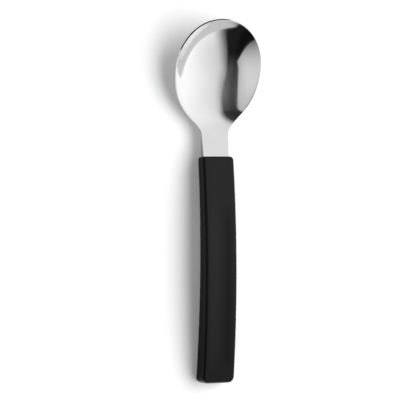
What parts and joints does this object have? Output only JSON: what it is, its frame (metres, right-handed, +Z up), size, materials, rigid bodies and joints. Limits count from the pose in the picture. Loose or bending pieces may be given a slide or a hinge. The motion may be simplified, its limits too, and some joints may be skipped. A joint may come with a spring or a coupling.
{
  "type": "dessert_spoon",
  "caption": "Dessert spoon with a polished steel bowl and neck, its hidden tang bonded into an arched black plastic handle with a shallow thumb scoop.",
  "frame": {"origin": "On the table that the spoon lies on, under the middle of its overall length and width.", "axes": "+Y runs along the spoon from the handle to the tip of the bowl, +Z is up and out of the bowl, +X is to the right seen from above with the bowl ahead."},
  "size_m": [0.045, 0.1744, 0.0178],
  "materials": {
    "polished_steel": "polished",
    "black_plastic": "satin",
    "adhesive": "satin"
  },
  "bodies": {
    "root": {"spoon_blade": "polished_steel", "handle": "black_plastic", "tang_bond": "adhesive"}
  },
  "joints": []
}
